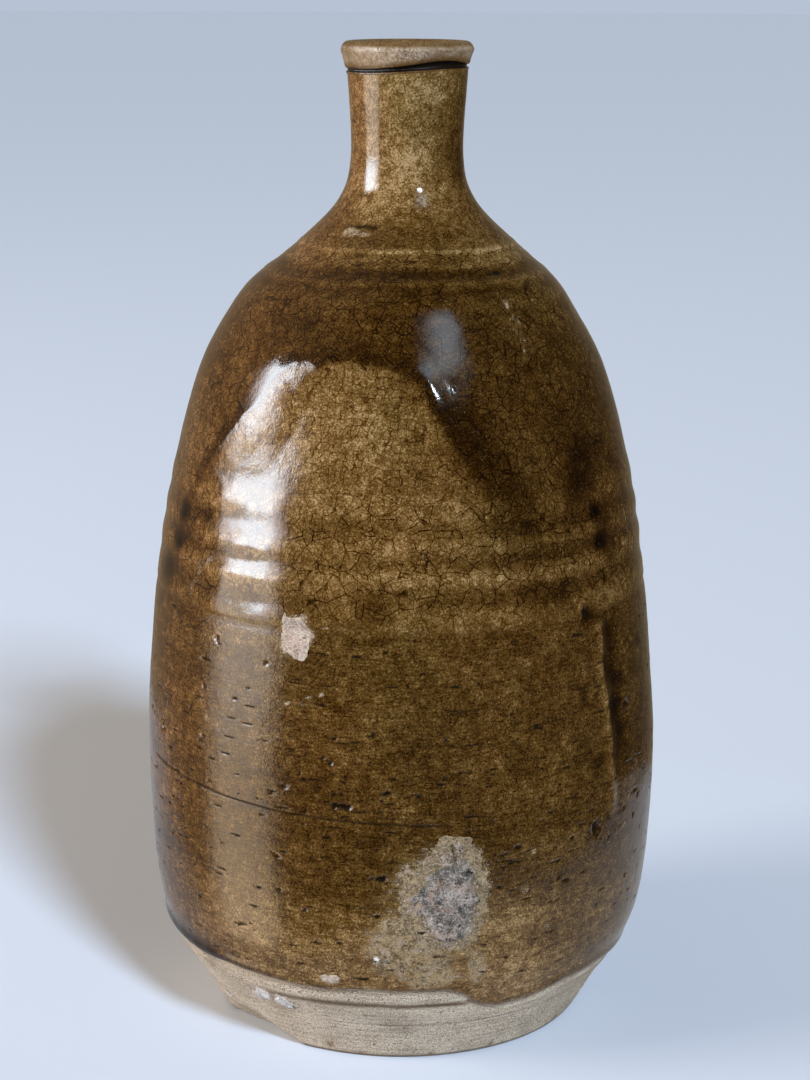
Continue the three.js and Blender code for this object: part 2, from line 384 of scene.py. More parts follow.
DENT_EDGE = [  # upper edge of the pressed dent, as azimuth and height
    (-84, 110), (-71, 132), (-64.5, 147), (-57, 161), (-47, 173.5), (-40.5, 181), (-36, 188), (-30, 190),
    (-24, 190.2), (-18, 191), (-13.5, 191.8), (-8, 190.6), (-1.5, 189.4), (3.2, 187.6), (6.5, 182.6),
    (10.2, 175.6), (14.2, 169.3), (19, 160), (26, 146), (36, 126), (60, 100),
]
DENT_MIDDLE = -22  # azimuth
DENT_DEPTH, DENT_RIM = 2.6, 0.42  # how deep it is pressed, and how far its right rim was pushed up
DENT_SLOPE, DENT_STEEP = 22, 18.5  # width of its bank at the sides, and how much less it is at the lip
DENT_MM_PER_DEGREE = math.radians(1) * 57

# Height, strength and half-width of each ring round the pot: raised where the strength is positive.
SHOULDER_RINGS = [
    (216.6, 0.34, 0.42), (214.9, 0.10, 0.40), (213.4, 0.13, 0.42), (211.4, -0.24, 0.75),
    (209.4, 0.14, 0.42), (207.6, -0.10, 0.7), (204.5, 0.06, 0.9),
]
FINGER_RINGS = [
    (160.5, -0.08, 2.0), (154.6, 0.11, 2.0), (150.0, -0.15, 1.7), (145.8, 0.17, 1.8),
    (141.9, -0.18, 1.7), (138.0, 0.19, 1.8), (132.6, -0.19, 2.0), (128.6, 0.10, 1.6),
]
TRIM_RINGS = [
    (125.3, 0.12, 0.6), (123.6, -0.16, 1.0), (118.0, 0.05, 2.0), (72.5, -0.05, 3.0), (46.0, 0.06, 2.5),
]


def rings(points, z, table):
    """Radial offset of a set of rings, wavering a little in height and strength round the pot."""
    waver = z + 0.45 * noise(points * (1, 1, 0.3), 34, 7)
    strength = 0.9 + 0.5 * noise(points * (1, 1, 0.3), 23, 8) + 0.3 * noise(points, 9, 9)
    return strength * sum(h * bell(waver, centre, width) for centre, h, width in table)


def finger_height(azimuth, z):
    """Height to look up in FINGER_RINGS: those rings run a little lower at the left."""
    return z + 2.4 * bell(azimuth, -40, 16) * (1 - smooth(z, 140, 158))


def dent_distance(azimuth, z, points):
    """Millimetres from the dent's edge, measured square to it: positive inside."""
    edge = turned(DENT_EDGE, 10)
    nearest = np.full(z.shape, 1e9)
    for edge_azimuth, edge_z in edge:
        turn = (azimuth - edge_azimuth) * DENT_MM_PER_DEGREE
        nearest = np.minimum(nearest, turn ** 2 + (z - edge_z) ** 2)
    side = np.sign(np.interp(azimuth, edge[:, 0], edge[:, 1]) - z)
    scallop = 0.9 * noise(points, 5.0, 21) + 0.35 * noise(points, 2.2, 22)
    return side * np.sqrt(nearest) + scallop


def dent(azimuth, z, points):
    """Inward offset of the pressed dent, with a sharp upper lip and soft sides."""
    inside = dent_distance(azimuth, z, points)
    sharp = bell(azimuth, -8, 16)
    down_bank = np.clip((inside + 0.3) / (DENT_SLOPE - DENT_STEEP * sharp), 0, 1)
    pressed = (down_bank - down_bank ** 5 / 5) * 1.25 * smooth(z, 122, 168)
    shallower_above = 1 - 0.017 * np.clip(z - 170, 0, 20)
    rim = bell(inside, -2.2, 1.7) * bell(azimuth, 4.5, 6.0) * smooth(z, 160, 180)
    near = 1 - smooth(np.abs(azimuth - DENT_MIDDLE), 50, 80)
    return near * (DENT_DEPTH * (0.72 + 0.28 * sharp) * pressed * shallower_above - DENT_RIM * rim)


PITS = [  # deep pits: azimuth, height, half-width, half-height, depth
    (-65.8, 87.6, 1.1, 1.7, 0.9), (-14.6, 90.3, 0.7, 0.8, 0.7), (-12.2, 79.0, 2.3, 0.75, 1.0),
    (-2.7, 83.1, 1.0, 0.55, 0.8), (-25.1, 82.5, 0.9, 0.5, 0.6), (-4.1, 59.5, 1.8, 0.9, 1.0),
    (-5.0, 49.0, 1.1, 0.5, 0.7), (-8.5, 51.0, 0.6, 0.4, 0.5), (45.8, 124.6, 1.2, 1.7, 1.3),
    (59.6, 96.4, 1.1, 1.1, 0.9), (62.5, 89.0, 0.6, 0.6, 0.5), (46.5, 65.7, 1.2, 1.9, 1.1),
    (41.7, 211.1, 1.2, 0.6, 0.6), (-9.8, 37.0, 0.6, 0.6, 0.5), (30.0, 98.0, 1.3, 0.35, 0.4),
    (9.6, 97.0, 0.6, 0.5, 0.5), (-5.5, 98.0, 0.8, 0.6, 0.5), (-44.5, 118.0, 0.7, 0.9, 0.6),
    (33.0, 74.0, 0.9, 0.5, 0.5), (25.0, 66.0, 1.6, 0.5, 0.6),
]
RIDGE = dict(azimuth=49.2, top=122.0, bottom=64.0, lean=0.055)  # a scraped ridge with a gouge beside it
RIDGE_HEIGHT, GOUGE_DEPTH, SCORE_DEPTH = 0.9, 1.3, 0.16
SCORE = dict(start=-72, end=9.5, height=74.5, rise=-0.048)  # a dragged line
SMALL_PITS, PIT_SEED = 900, 11


def carve(offset, black, azimuth, z, p, pit):
    """Cuts one uneven pit with a thin raised rim, and marks it black inside."""
    pit_azimuth, height, half_width, half_height, depth = pit
    turn = around(azimuth, pit_azimuth, skin(height))
    near = (np.abs(turn) < 3 * half_width) & (np.abs(z - height) < 3 * half_height)
    nearby = p[near]
    ragged = 1 + 0.55 * noise(nearby, 1.1, 23) + 0.25 * noise(nearby, 0.5, 24)
    d = np.hypot(turn[near] / half_width, (z[near] - height) / half_height) * ragged
    offset[near] -= depth * np.exp(-d ** 2.4) - 0.14 * depth * bell(d, 1.7, 0.4)
    black[near] = np.maximum(black[near], 1 - smooth(d, 0.7, 1.15))


def random_pits(count, seed):
    """Small grog pits and torn drag marks all round the trimmed wall."""
    rng = np.random.default_rng(seed)
    found = []
    for _ in range(count):
        drag = rng.random() < 0.6
        half_width = rng.uniform(0.6, 2.2) if drag else rng.uniform(0.25, 0.65)
        half_height = rng.uniform(0.16, 0.30) if drag else half_width * rng.uniform(0.6, 1.0)
        depth = half_height * rng.uniform(0.5, 1.1)
        found.append((rng.uniform(-180, 180), rng.uniform(29, 122), half_width, half_height, depth))
    return found


GLAZE_EDGE = [  # the glaze's wavy lower edge, as azimuth and height
    (-180, 22), (-150, 27), (-120, 24), (-90, 26), (-68, 25.2), (-52, 25.2), (-44, 26.2), (-32, 25.4),
    (-19, 25.1), (-7, 25.8), (11, 25.4), (15, 23.5), (19, 19.2), (24, 17.3), (33, 18.1), (43, 20.6),
    (56, 21.2), (80, 18.5), (110, 24), (145, 26), (180, 22),
]


def glaze_edge(azimuth):
    known_azimuth, known_height = np.array(GLAZE_EDGE, float).T
    a = np.radians(azimuth)
    circle = np.stack([np.sin(a), np.cos(a), 0 * a], -1) * 60
    waver = 0.35 * noise(circle, 9, 41) + 0.15 * noise(circle, 3, 42)
    return np.interp(azimuth, known_azimuth, known_height) + waver


# ---- the glazed wall as one grid, cut into pieces at the natural lines ----

def glaze_rows():
    """The grid's rows: shares of the way up the trimmed wall, then heights on the shoulder and neck."""
    lower = np.linspace(0, 1, 231)
    upper = turned_rows(TRIM_LINE, SHOULDER_LINE, 150)
    neck = turned_rows(SHOULDER_LINE, NECK_TOP, 84)
    return lower, upper[1:], neck[1:]


def turned_rows(low, high, count):
    """Heights from low to high, evenly spaced along the outline."""
    z = np.linspace(low, high, 2000)
    length = np.concatenate([[0], np.cumsum(np.hypot(np.diff(z), np.diff(skin(z))))])
    return np.interp(np.linspace(0, length[-1], count + 1), length, z)


def wall_relief(az, z):
    """How far the glaze stands out from the turned outline, and the marks that go with its shape."""
    p = place(az, skin(z), z)
    offset = 0.28 * noise(p, 52, 1) + 0.10 * fractal(p, 15, 2)
    offset += rings(p, z, SHOULDER_RINGS) + rings(p, finger_height(az, z), FINGER_RINGS)
    offset += rings(p, z, TRIM_RINGS)
    offset -= dent(az, z, p)
    trimmed = 1 - smooth(z, TRIM_LINE - 2.5, TRIM_LINE - 0.5)
    tool_lines = fractal(p * (0.05, 0.05, 1), (1, 1, 1.3), 5, 3)
    offset += trimmed * 0.018 * tool_lines + 0.009 * noise(p, 1.9, 6)
    ridge, gouge = ridge_and_gouge(az, z, p)
    offset += RIDGE_HEIGHT * ridge - GOUGE_DEPTH * gouge
    black = np.zeros(z.shape)
    for pit in PITS + random_pits(SMALL_PITS, PIT_SEED):
        carve(offset, black, az, z, p, pit)
    line = score_line(az, z)
    offset -= SCORE_DEPTH * line
    return p, offset, black, line, trimmed


def glazed_wall():
    """Positions and surface marks of the whole outer glaze, row by row from its lower edge to the neck."""
    azimuth = np.linspace(-180, 180, COLUMNS + 1)
    lower, upper, neck = glaze_rows()
    edge = glaze_edge(azimuth)
    level = np.concatenate([upper, neck])[:, None]
    z = np.concatenate([edge + lower[:, None] * (TRIM_LINE - edge), np.repeat(level, COLUMNS + 1, 1)])
    z = z + joint_rise(azimuth) * smooth(z, NECK_TOP - 12, NECK_TOP)
    az = np.broadcast_to(azimuth, z.shape)
    p, offset, black, line, trimmed = wall_relief(az, z)
    above_edge = z - edge
    thicker = 1 + 0.9 * band(-az, 20, 50, 110, 150)
    roll = EDGE_ROLL * thicker * bell(above_edge, 1.7, 1.2) - 1.6 * (1 - smooth(above_edge, 0, 1.0)) ** 1.5
    marks = glaze_marks(az, z, p, black, line, trimmed, above_edge)
    return place(az, skin(z) + offset + roll, z), marks


def ridge_and_gouge(az, z, p):
    """Strengths of the scraped ridge and of the gouge beside it, each 0..1."""
    top, bottom = RIDGE["top"], RIDGE["bottom"]
    across = az - RIDGE["azimuth"] - (top - z) * RIDGE["lean"] + 0.5 * noise(p, 9, 43)
    ridge = band(z, bottom, bottom + 16, top - 2, top + 1) * bell(across, 0, 1.1)
    gouge = band(z, 76, 88, 116, 123) * (0.8 + 0.4 * noise(p, 6, 44)) * bell(across, 4.3, 1.7)
    return ridge, gouge


def score_line(az, z):
    """Strength of the dragged line round the lower wall, 0..1."""
    drift = SCORE["height"] + SCORE["rise"] * az
    return band(az, SCORE["start"], SCORE["start"] + 3, SCORE["end"] - 2, SCORE["end"]) * bell(z, drift, 0.24)


def glaze_marks(az, z, p, black, line, trimmed, above_edge):
    """Per-point values that the glaze material reads."""
    right, left = band(az, 15, 55, 120, 170), band(-az, 25, 60, 120, 170)
    worn_neck = smooth(z, 236, 262) * band(az, -30, 10, 60, 90)
    inside = dent_distance(az, z, p)
    patch = smooth(inside, -0.4, 1.0) * smooth(z, 148, 180) * (1 - smooth(np.abs(az - DENT_MIDDLE), 38, 54))
    ridge, gouge = ridge_and_gouge(az, z, p)
    thick = 1.9 + 0.30 * fractal(p, 26, 51) + 0.42 * fractal(p, 8, 52)
    thick += 1.3 * (gouge * 2.2 - ridge * 1.1)
    thick += trimmed_thickness(z, p, right, left) * trimmed
    thick += shoulder_thickness(az, z, p, right, left) + dent_thickness(az, z, inside, patch)
    # the neck is darker at the right: thicker glaze, partly painted shade
    thick += smooth(z, 218, 236) * (1.9 * right - 1.30 - 0.45 * worn_neck + 0.55 * fractal(p, 7, 55))
    thick += (0.5 + 3.6 * left) * bell(above_edge, 1.8, 1.3 + 1.1 * left)
    for spot_az, spot_z, size, strength in DARK_SPOTS:
        turn = around(az, spot_az, skin(z))
        thick += strength * np.exp(-0.5 * (turn ** 2 + ((z - spot_z) * 1.25) ** 2) / size ** 2)
    blotted = 0.85 * gouge * np.clip(0.45 + fractal(p, (4, 4, 7), 58), 0, 1)
    black = np.maximum(black, np.maximum(0.92 * line, blotted))
    broken = np.clip(0.35 + 0.9 * noise(p, 0.9, 56) + 0.6 * noise(p, 3.0, 57), 0, 1)
    return dict(
        thickness=thick,
        warmth=np.clip(0.35 + 0.65 * left + 0.30 * fractal(p, 30, 54) - 0.5 * worn_neck, 0, 1),
        crack=0.25 + 0.75 * smooth(z, TRIM_LINE, TRIM_LINE + 6) * (1 - 0.8 * smooth(z, 213, 222)),
        film=drawn(scar_film(az, z, p), az, z, SCRATCHES, broken),
        black=drawn(black, az, z, HAIRLINES),
        patch=patch,
        trimmed=trimmed)


def trimmed_thickness(z, p, right, left):
    """Extra glaze on the trimmed wall: streaky and least just above the foot; more at the right and less at
    the left, partly real glaze and partly painted shade on the right and painted light on the left.
    """
    # the right-side share is partly painted shade, the left-side cut partly painted light
    streaks = 0.45 + 0.55 * right - 0.35 * left + 0.40 * fractal(p * (0.25, 0.25, 1), 5, 53)
    run_off = 1.75 * (1 - smooth(z, 34, 64)) * (1 - 0.6 * right) * (1 - 0.45 * left)
    return streaks - run_off + 0.7 * left * (1 - smooth(z, 50, 75))


def shoulder_thickness(az, z, p, right, left):
    """Extra glaze above the trimmed wall: thin on raised rings and at the front, pooled higher up; thicker at
    the right and thinner at the left, partly real glaze and partly painted shade and light.
    """
    raised = rings(p, z, SHOULDER_RINGS) * 5.0 + rings(p, z, TRIM_RINGS) * 2.0
    raised += rings(p, finger_height(az, z), FINGER_RINGS) * 4.2
    # sides: thicker at the right and thinner at the left, partly real glaze and partly painted shade and
    # light
    sides = band(z, 126, 150, 214, 222) * (0.85 * right * (1 - 1.6 * smooth(z, 180, 205)) - 0.40 * left)
    pale_front = 0.75 * band(z, 126, 134, 156, 170) * bell(az, -12, 24)
    pool = 1.20 * band(z, 168, 196, 209, 217) * (1 - 0.45 * left - 0.40 * right)
    return sides - pale_front + pool - raised


def dent_thickness(az, z, inside, patch):
    """Extra glaze round the dent: thin where it was pressed and pooled under its lip, with painted shade
    under the lip, on its right bank, over the right of its floor and along its left edge.
    """
    # pooled glaze above the dent's upper lip, darkened further as painted shade
    pooled_glaze_and_shade_under_rim = bell(inside, -2.0, 1.5) * bell(az, -13, 20) * smooth(z, 160, 178)
    # painted shade: a darker bank outside the dent's right side
    painted_shade_right_bank = bell(inside, -5, 4.5) * smooth(az, 0, 9) * band(z, 136, 156, 178, 190)
    # painted shade over the right of the dent's floor
    painted_shade_right_floor = band(az, -10, 5, 12, 30) * band(z, 160, 170, 186, 192)
    # painted shade along the dent's left edge
    painted_shade_left_edge = bell(inside, -0.6, 1.7) * bell(az, -54, 10)
    pressed = patch * (0.5 * (1 - smooth(z, 158, 172)) - 1.55)
    return pressed + 1.5 * pooled_glaze_and_shade_under_rim + 1.7 * painted_shade_right_bank + 0.9 * painted_shade_right_floor + 1.5 * painted_shade_left_edge


def drawn(mark, az, z, table, broken=1.0):
    """The mark with the lines of a table drawn over it."""
    for start, end, width, strength in table:
        mark = np.maximum(mark, strength * segment(az, z, skin(start[1]), start, end, width) * broken)
    return mark


HAIRLINES = [  # open cracks: two ends as azimuth and height, half-width, strength
    ((-35.7, 222.2), (-27.6, 222.6), 0.50, 1.0), ((-27.6, 222.6), (-20, 222.3), 0.42, 0.9),
    ((10.5, 103.7), (17.0, 104.4), 0.27, 0.8), ((-3, 64.2), (0.5, 64.4), 0.22, 0.6),
    ((29, 98.0), (38, 98.6), 0.30, 0.7), ((9.7, 71.0), (10.8, 67.0), 0.55, 0.9),
    ((10.8, 67.0), (11.2, 64.2), 0.45, 0.8), ((-5, 76.7), (2, 76.3), 0.18, 0.5),
    ((26, 55.5), (31, 57.5), 0.25, 0.6), ((30, 33.0), (37, 35.5), 0.28, 0.6),
    ((-30, 33.2), (-17, 33.0), 0.22, 0.6),
]
SCRATCHES = [  # chalky scratches: two ends as azimuth and height, half-width, strength
    ((-24.8, 104.6), (-16.2, 108.4), 0.45, 1.0), ((-23.5, 104.2), (-18.5, 105.6), 0.35, 0.7),
    ((-18.5, 125.6), (-10.0, 125.5), 0.50, 0.7), ((-10.0, 125.5), (6.0, 125.4), 0.35, 0.35),
    ((38.0, 204.5), (38.6, 197.0), 0.75, 1.0), ((38.6, 197.0), (38.2, 190.0), 0.60, 0.9),
    ((40.6, 202.0), (39.8, 195.0), 0.40, 0.9), ((37.0, 201.0), (37.2, 195.0), 0.30, 0.7),
    ((35.5, 187.5), (37.5, 189.0), 0.60, 0.6), ((-56, 127.0), (-50.0, 140.0), 2.20, 0.40),
    ((5.0, 145.5), (6.5, 141.0), 0.60, 0.6), ((-8.8, 175.5), (-8.2, 173.0), 0.35, 0.6),
    ((66.0, 152.0), (69.0, 141.0), 0.30, 0.9), ((47.0, 58.0), (56.4, 61.8), 0.34, 0.9),
    ((56.4, 61.8), (62.7, 66.9), 0.34, 0.9), ((62.7, 66.9), (72.0, 73.0), 0.34, 0.9),
]
DARK_SPOTS = [  # pools of thick glaze: azimuth, height, size, strength
    (-63.8, 147.4, 2.0, 4.6), (-53.4, 147.9, 1.3, 2.6), (-65, 139.0, 2.3, 3.4), (-70, 129.5, 3.0, 3.6),
    (-74, 120, 2.0, 2.0), (55, 146, 2.8, 2.0), (52.4, 150, 1.5, 5.0), (52.8, 142, 1.8, 5.5),
    (57, 138.5, 2.6, 2.0), (47, 157, 4.5, 2.2), (50, 166, 5.0, 2.4), (46.6, 124.1, 1.6, 3.5),
    (44, 176, 4.5, 1.4), (-52, 171, 3.0, 1.0), (-48, 180, 3.0, 0.8), (56, 104, 1.6, 2.2),
    (57, 90, 1.6, 2.6), (56, 97, 2.0, 2.2), (47, 83, 2.0, 1.2), (30, 134, 3.0, 1.2), (38, 131, 4.0, 1.3),
    (-6, 129.5, 3.0, 1.1), (-62, 141.5, 3.6, 1.8), (-68, 133, 3.2, 2.0), (-58, 146.5, 2.6, 1.4),
    (-5.2, 36.3, 1.6, 2.2), (150, 140, 3, 1.2), (-140, 150, 3, 1.4), (110, 128, 2.5, 1.2),
]
SCARS = [  # azimuth, height, half-width, half-height of the bare grit, how strongly it covers
    (10.0, 51.0, 14.0, 18.0, 0.95), (-0.5, 40.0, 8.5, 9.0, 0.80), (6.5, 32.0, 9.0, 4.6, 0.70),
    (17.0, 33.0, 2.6, 5.0, 0.7), (-23.2, 122.3, 4.9, 5.7, 0.9),
]
SCUFFS = [  # azimuth, height, half-width, half-height, strength: worn and chalky marks
    (-37.0, 221.0, 2.6, 1.3, 0.9), (-27.0, 220.6, 2.4, 0.8, 0.45), (-15.7, 28.9, 2.7, 1.2, 1.0),
    (29, 64, 1.0, 1.0, 0.7), (33.5, 41.0, 1.6, 1.4, 0.5), (27.0, 55.0, 1.6, 2.4, 0.35),
]


def oval(az, z, p, spot, ragged):
    """How far inside an uneven oval: 1 at its middle, 0 at its edge, less outside."""
    spot_az, spot_z, half_width, half_height = spot[:4]
    d = np.hypot(around(az, spot_az, skin(z)) / half_width, (z - spot_z) / half_height)
    wave = 0.55 * noise(p, half_height * 0.8, 61) + 0.45 * noise(p, half_height * 0.33, 62)
    return 1 - d + ragged * (wave + 0.25 * noise(p, 1.5, 63) + 0.15 * noise(p, 0.7, 64))


def scar_film(az, z, p):
    """How far the pale film of the scars and scuffs covers the glaze."""
    film = np.zeros(z.shape)
    for scar in SCARS:
        film = np.maximum(film, scar[4] * smooth(oval(az, z, p, scar, 0.42), -0.22, 0.30))
    for scuff in SCUFFS:
        film = np.maximum(film, scuff[4] * smooth(oval(az, z, p, scuff, 0.5), -0.1, 0.4))
    return film


# ---- meshes ----

def new_object(name, points, faces, marks, uv):
    """A smooth mesh from points in millimetres, with a value of each mark on each point."""
    mesh = bpy.data.meshes.new(name)
    mesh.vertices.add(len(points))
    mesh.vertices.foreach_set("co", (points * MM).astype(np.float32).ravel())
    mesh.loops.add(faces.size)
    mesh.loops.foreach_set("vertex_index", faces.astype(np.int32).ravel())
    mesh.polygons.add(len(faces))
    mesh.polygons.foreach_set("loop_start", np.arange(0, faces.size, 4, dtype=np.int32))
    mesh.update(calc_edges=True)
    mesh.validate()
    mesh.shade_smooth()
    for key, values in marks.items():
        attribute = mesh.attributes.new(key, "FLOAT", "POINT")
        attribute.data.foreach_set("value", values.astype(np.float32).ravel())
    layer = mesh.uv_layers.new(name="OFBake")
    layer.data.foreach_set("uv", uv.astype(np.float32).ravel())
    obj = bpy.data.objects.new(name, mesh)
    bpy.context.scene.collection.objects.link(obj)
    return obj


def two_strips(row, column, rows, columns):
    """UVs of a grid as two strips, one above the other, so that a square holds it evenly."""
    half = columns / 2
    strip = (column >= half).astype(float)
    u = (column - strip * half)[..., None] + np.array([0, 1, 1, 0])
    v = row[..., None] + np.array([0, 0, 1, 1])
    margin = 0.004
    u = margin + (1 - 2 * margin) * u / half
    v = (strip[..., None] + margin + (1 - 2 * margin) * v / rows) / 2
    return np.stack([u, v], -1)


def grid_object(name, positions, marks, normals):
    """A piece from rows and columns of points, joined where the last column meets the first."""
    rows, columns = positions.shape[:2]
    columns -= 1
    row, column = np.meshgrid(np.arange(rows - 1), np.arange(columns), indexing="ij")
    following = (column + 1) % columns
    faces = np.stack([row * columns + column, row * columns + following, (row + 1) * columns + following,
                      (row + 1) * columns + column], -1).reshape(-1, 4)
    marks = {key: values[:, :columns] for key, values in marks.items()}
    uv = two_strips(row, column, rows - 1, columns)
    obj = new_object(name, positions[:, :columns].reshape(-1, 3), faces, marks, uv)
    split_normals = normals[:, :columns].reshape(-1, 3).astype(np.float32)
    obj.data.normals_split_custom_set_from_vertices(split_normals)
    return obj


def patch_object(name, positions, marks):
    """A piece from rows and columns of points, open on all sides."""
    rows, columns = positions.shape[:2]
    row, column = np.meshgrid(np.arange(rows - 1), np.arange(columns - 1), indexing="ij")
    corner = row * columns + column
    faces = np.stack([corner, corner + 1, corner + columns + 1, corner + columns], -1).reshape(-1, 4)
    u = (column[..., None] + np.array([0, 1, 1, 0])) / (columns - 1)
    v = (row[..., None] + np.array([0, 0, 1, 1])) / (rows - 1)
    margin = 0.01
    uv = margin + (1 - 2 * margin) * np.stack([u, v], -1)
    return new_object(name, positions.reshape(-1, 3), faces, marks, uv)


def grid_normals(positions):
    """Outward normals of a grid that closes round the pot."""
    along = np.gradient(positions, axis=0)
    padded = np.concatenate([positions[:, -2:-1], positions, positions[:, 1:2]], 1)
    across = (padded[:, 2:] - padded[:, :-2]) / 2
    normals = np.cross(across, along)
    return normals / np.linalg.norm(normals, axis=-1, keepdims=True)


def finish_piece(obj, material, slot, *nodes):
    """Gives a piece its material, hangs it on the root, and hides the CAD parts that it stands for."""
    obj.data.materials.append(material)
    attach(obj, "root")
    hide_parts(*nodes)


# ---- materials ----

THIN_GLAZE = (0.253, 0.157, 0.058)  # colour over the clay where the glaze is thinnest
GLAZE_KEEPS = (0.575, 0.512, 0.375)  # share of each colour left by one unit of glaze
GLAZE_WARMTH = (1.13, 0.965, 0.97)
GLAZE_SPECK = (0.33, 0.23, 0.12)
CHALK, CHALK_DARK, CHALK_PINK = (0.42, 0.295, 0.155), (0.080, 0.050, 0.020), (0.44, 0.32, 0.225)
# BLACK also paints the shade in the lip's joint
BLACK = (0.010, 0.006, 0.003)
CLAY_DARK, CLAY_PALE, CLAY_GOLD = (0.25, 0.185, 0.115), (0.86, 0.70, 0.52), (0.60, 0.44, 0.26)
# WASH_AND_SHADE also paints shade on the foot's right side
WASH_AND_SHADE, RUST, CLAY_PIT = (0.130, 0.075, 0.030), (0.21, 0.09, 0.025), (0.03, 0.022, 0.016)
THIN_RIM, RIM_KEEPS, WORN_RIM = (0.30, 0.205, 0.110), (0.60, 0.50, 0.34), (0.48, 0.365, 0.265)
THIN_LINING, LINING_KEEPS, LINING_CRACK = (0.115, 0.062, 0.024), (0.60, 0.52, 0.40), (0.02, 0.011, 0.005)
AMBER_STAIN, BARE_STAIN = (0.36, 0.245, 0.125), (0.56, 0.42, 0.30)
GRITS = dict(  # pale, middle, dark and blush grains, and the stain near the rim
    scar_grit=((0.44, 0.350, 0.275), (0.105, 0.083, 0.060), (0.028, 0.031, 0.027), (0.42, 0.260, 0.180),
               AMBER_STAIN),
    beige_grit=((0.58, 0.45, 0.35), (0.32, 0.235, 0.165), (0.20, 0.13, 0.085), (0.52, 0.34, 0.25),
                BARE_STAIN),
    white_grit=((0.80, 0.76, 0.72), (0.58, 0.52, 0.46), (0.34, 0.27, 0.22), (0.62, 0.45, 0.42), BARE_STAIN),
)


def crackle(n, in_patch):
    """The glaze's cracked net: large and small cells, and squarer ones on the dent."""
    large = n.cracks(5.0, 0.15, 0.40)
    small = n.cracks(2.4, 0.12, 0.35)
    square = n.cracks(2.0, 0.11, 0.30, 0.55)
    broken = n.span(n.grain(5.0, 2.0), -0.8, 0.6, 0.15, 1.0)
    net = n.math("MAXIMUM", large, n.times(n.times(small, 0.7), broken))
    outside = n.times(net, n.math("SUBTRACT", 1.0, in_patch))
    lines = n.times(n.add(outside, n.times(n.times(square, 0.75), in_patch)), n.mark("crack"))
    return n.times(lines, n.span(n.grain(3.0, 1.0), -0.9, 0.3, 0.3, 1.0))


def chalk_colour(n, grains):
    """Pale, dusty coat on the scars' rims and the scratches."""
    chalk = n.blend(n.span(grains, -0.65, 0.65), CHALK_DARK, CHALK)
    return n.blend(n.times(n.span(n.grain(3.0, 3.0), 0.0, 0.6), 0.6), chalk, CHALK_PINK)


def glaze_material():
    """Glossy amber glaze: its colour comes from its thickness, broken up by grains, streaks and cracks."""
    n = Nodes(bpy.data.materials.new("amber_glaze"))
    fine = n.grain(0.70, 2.0, roughness=0.7)
    grit = n.grain(0.36, 1.0, roughness=0.6)
    blotch = n.grain(2.6, 3.0)
    streaks = n.grain(0.62, 3.0, n.stretch((0.16, 0.16, 1.0)))
    dashes = n.span(n.grain(0.42, 2.0, n.stretch((0.22, 0.22, 1.0))), 0.55, 0.85)
    in_patch = n.span(n.mark("patch"), 0.05, 0.5)
    lines = crackle(n, in_patch)

    tool_marks = n.total((streaks, 0.75), (dashes, 2.2))
    amount = n.total(n.mark("thickness"), (fine, 1.35), (grit, 1.20), (blotch, 0.95),
                     (tool_marks, n.mark("trimmed")), (lines, 2.6))
    colour = n.stain(THIN_GLAZE, GLAZE_KEEPS, n.math("MAXIMUM", amount, -0.7))
    colour = n.blend(n.mark("warmth"), colour, GLAZE_WARMTH, "MULTIPLY")
    colour = n.blend(n.times(n.span(n.grain(0.5, 1.0), 0.72, 0.95), 0.20), colour, GLAZE_SPECK)
    grains = n.total(n.grain(0.55, 2.0, roughness=0.7), (n.grain(1.8, 2.0), 0.7))
    worn = n.add(n.times(n.mark("film"), 2.4), n.add(n.times(blotch, 0.8), n.add(fine, grit)))
    film = n.times(n.span(worn, 0.6, 2.1, 0.0, 0.92), n.span(n.mark("film"), 0.02, 0.25))
    colour = n.blend(film, colour, chalk_colour(n, grains))
    colour = n.blend(n.mark("black"), colour, BLACK)

    roughness = n.total(n.span(n.grain(9.0, 2.0), -0.8, 0.8, 0.05, 0.12), (film, 0.5))
    shine = n.span(n.mark("black"), 0.1, 0.8, 0.5, 0.05)
    relief = n.total((lines, -0.15), (grit, 0.30), (fine, 0.35), (blotch, 0.6))
    uneven = n.total((n.mark("trimmed"), 0.40), (in_patch, 0.32))
    normal = n.bump(n.times(relief, n.add(uneven, 0.22)), 0.05)
    normal = n.bump(n.times(film, grains), 0.12, Normal=normal)
    return n.surface(colour, roughness, normal, **{"Specular IOR Level": shine, "IOR": 1.5})


def clay_material():
    """Bare turned stoneware: gritty beige clay with fine tool lines, dark pits and rusty specks."""
    n = Nodes(bpy.data.materials.new("foot_clay"))
    grit = n.grain(0.42, 2.0, roughness=0.7)
    fine = n.grain(0.22, 1.0)
    cloud = n.grain(11.0, 3.0)
    lines = n.grain(0.62, 2.0, n.stretch((0.03, 0.03, 1.0)))
    tone = n.total((grit, 1.0), (fine, 0.9), (lines, 0.35), (cloud, 0.45))
    colour = n.blend(n.span(tone, -1.1, 1.1), CLAY_DARK, CLAY_PALE)
    colour = n.blend(n.times(n.span(n.grain(1.6, 3.0), -0.1, 0.8), 0.35), colour, CLAY_GOLD)
    # brown wash, with painted shade towards the right of the foot
    colour = n.blend(n.mark("wash"), colour, WASH_AND_SHADE)
    colour = n.blend(n.times(n.mark("rust"), 0.85), colour, RUST)
    dark = n.span(n.grain(0.75, 1.0), 0.62, 0.85)
    colour = n.blend(n.math("MAXIMUM", n.times(dark, 0.7), n.mark("black")), colour, CLAY_PIT)
    relief = n.total((grit, 0.6), (fine, 0.5), (lines, 0.6), (dark, -1.2))
    return n.surface(colour, 0.88, n.bump(relief, 0.18))


